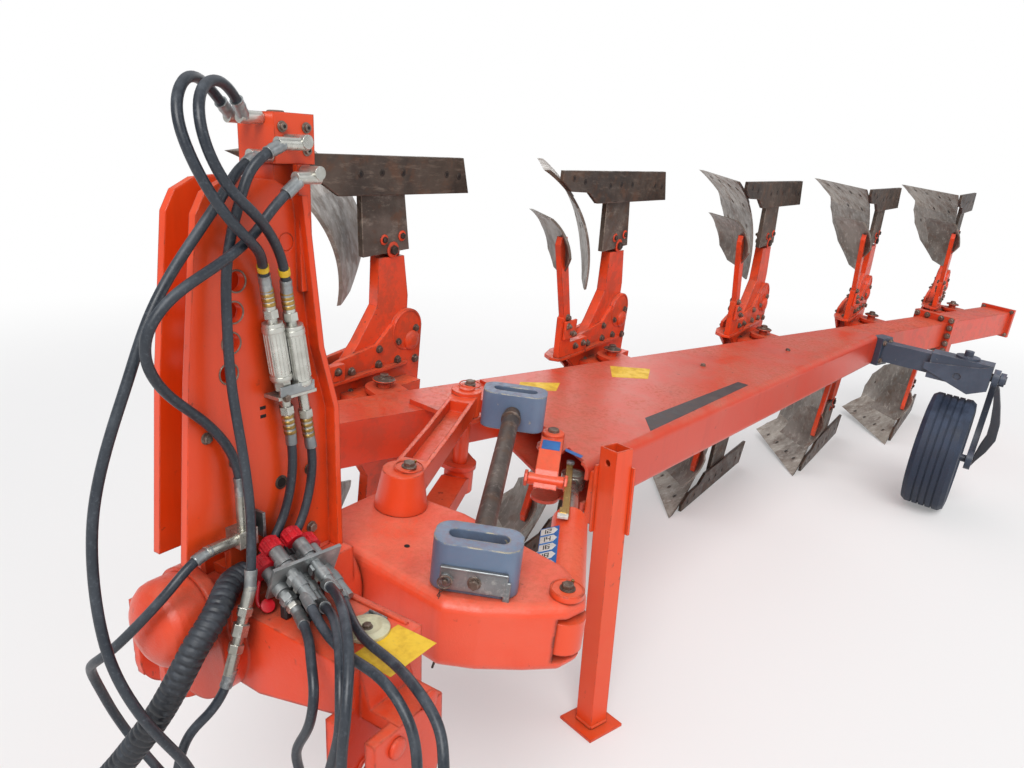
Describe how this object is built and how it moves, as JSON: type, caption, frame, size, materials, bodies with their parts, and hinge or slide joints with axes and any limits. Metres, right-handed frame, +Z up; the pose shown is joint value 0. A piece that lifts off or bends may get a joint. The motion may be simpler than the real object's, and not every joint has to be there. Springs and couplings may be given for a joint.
{
  "type": "mounted reversible moldboard plough",
  "caption": "Mounted reversible moldboard plough: a slanted beam with paired bodies above and below, on a turnover headstock, parked on its stand and depth wheel.",
  "frame": {"origin": "centre of the plough's bounding box, on the ground", "axes": "+X forward, the direction of travel; +Y to the plough's left; +Z up"},
  "size_m": [5.6399, 2.1473, 1.6281],
  "materials": {
    "paint": "gloss, worn at the edges",
    "steel": "worn and lightly rusted",
    "grey_paint": "satin, scratched",
    "black_paint": "satin",
    "tyre": "matte",
    "zinc": "zinc plated",
    "hose": "matte, dusty"
  },
  "bodies": {
    "headstock": {"cross_beam": "paint", "tower": "paint", "shaft_cap": "paint", "head_block": "paint", "turnover_cylinder": "paint", "block_elbows": "zinc", "valves": "zinc", "hose_joint": "zinc", "branch_fitting": "zinc", "coupler_rack": "zinc", "hose_1": "hose", "hose_2": "hose", "hose_3": "hose", "hose_4": "hose", "hose_5": "hose", "hose_6": "hose", "hose_7": "hose", "hose_8": "hose", "hose_9": "hose", "hose_10": "hose", "hose_11": "hose", "hose_bundle": "hose"},
    "carrier": {"carrier": "paint", "link_arm": "paint", "arm_pins": "zinc", "hitch_bar": "steel", "hitch_blocks": "grey_paint"},
    "frame": {"main_beam": "paint", "brace": "paint", "rear_beam": "paint", "stand_socket": "paint", "wheel_bracket": "grey_paint"},
    "stand": {"stand": "paint"},
    "wheel_arm": {"wheel_fork": "grey_paint"},
    "wheel": {"wheel_rim": "black_paint", "tyre": "tyre"},
    "short_link": {"short_link": "paint"},
    "width_cylinder": {"width_cylinder": "paint"},
    "width_rod": {"width_rod": "zinc"},
    "body_1": {"legs_1": "paint", "bottoms_1": "steel", "skimmers_1": "paint"},
    "body_2": {"legs_2": "paint", "bottoms_2": "steel", "skimmers_2": "paint"},
    "body_3": {"legs_3": "paint", "bottoms_3": "steel", "skimmers_3": "paint"},
    "body_4": {"legs_4": "paint", "bottoms_4": "steel", "skimmers_4": "paint"},
    "body_5": {"legs_5": "paint", "bottoms_5": "steel", "skimmers_5": "paint"}
  },
  "joints": [
    {"name": "turnover", "type": "hinge", "parent": "headstock", "child": "carrier", "pos_m": [2.39818, 0.0375, 0.69744], "axis": [-0.9996, 0, 0.0266], "range_deg": [0, 170.06]},
    {"name": "width_swing", "type": "hinge", "parent": "carrier", "child": "frame", "pos_m": [1.61486, -0.19866, 0.73883], "axis": [-0.0265, -0.0867, -0.9959], "range_deg": [-0.6, 12]},
    {"name": "width_cylinder_swing", "type": "hinge", "parent": "carrier", "child": "width_cylinder", "pos_m": [2.17228, 0.48903, 0.66415], "axis": [-0.0265, -0.0867, -0.9959], "range_deg": [-3.95, 0.25]},
    {"name": "width_rod_slide", "type": "slide", "parent": "width_cylinder", "child": "width_rod", "axis": [-0.876, -0.4779, 0.0649], "range_m": [-0.0658, 0.0038]},
    {"name": "short_link_swing", "type": "hinge", "parent": "frame", "child": "short_link", "pos_m": [1.60296, 0.09761, 0.71336], "axis": [-0.0265, -0.0867, -0.9959], "range_deg": [-12.05, 0.65]},
    {"name": "body_1_swing", "type": "hinge", "parent": "frame", "child": "body_1", "pos_m": [1.60892, -0.52592, 0.76747], "axis": [-0.0265, -0.0867, -0.9959], "range_deg": [-12.05, 0.65]},
    {"name": "body_2_swing", "type": "hinge", "parent": "frame", "child": "body_2", "pos_m": [0.63349, -0.2277, 0.76747], "axis": [-0.0265, -0.0867, -0.9959], "range_deg": [-12.05, 0.65]},
    {"name": "body_3_swing", "type": "hinge", "parent": "frame", "child": "body_3", "pos_m": [-0.34194, 0.07052, 0.76747], "axis": [-0.0265, -0.0867, -0.9959], "range_deg": [-12.05, 0.65]},
    {"name": "body_4_swing", "type": "hinge", "parent": "frame", "child": "body_4", "pos_m": [-1.31737, 0.36874, 0.76747], "axis": [-0.0265, -0.0867, -0.9959], "range_deg": [-12.05, 0.65]},
    {"name": "body_5_swing", "type": "hinge", "parent": "frame", "child": "body_5", "pos_m": [-2.2928, 0.66696, 0.76747], "axis": [-0.0265, -0.0867, -0.9959], "range_deg": [-12.05, 0.65]},
    {"name": "stand_slide", "type": "slide", "parent": "frame", "child": "stand", "axis": [0, 0, 1], "range_m": [0, 0.35]},
    {"name": "wheel_arm_swing", "type": "hinge", "parent": "frame", "child": "wheel_arm", "pos_m": [-0.90521, 0.89256, 0.71092], "axis": [-0.0012, 0.9962, -0.0867], "range_deg": [0, 165]},
    {"name": "wheel_spin", "type": "hinge", "parent": "wheel_arm", "child": "wheel", "pos_m": [-0.9164, 0.85596, 0.29043], "axis": [-0.0012, 0.9962, -0.0867], "continuous": true}
  ],
  "couplings": [
    {"joint": "width_cylinder_swing", "follows": "width_swing", "ratio": -0.3253},
    {"joint": "width_rod_slide", "follows": "width_swing", "m_per_rad": -0.3116},
    {"joint": "short_link_swing", "follows": "width_swing", "ratio": -1},
    {"joint": "body_1_swing", "follows": "width_swing", "ratio": -1},
    {"joint": "body_2_swing", "follows": "width_swing", "ratio": -1},
    {"joint": "body_3_swing", "follows": "width_swing", "ratio": -1},
    {"joint": "body_4_swing", "follows": "width_swing", "ratio": -1},
    {"joint": "body_5_swing", "follows": "width_swing", "ratio": -1}
  ]
}
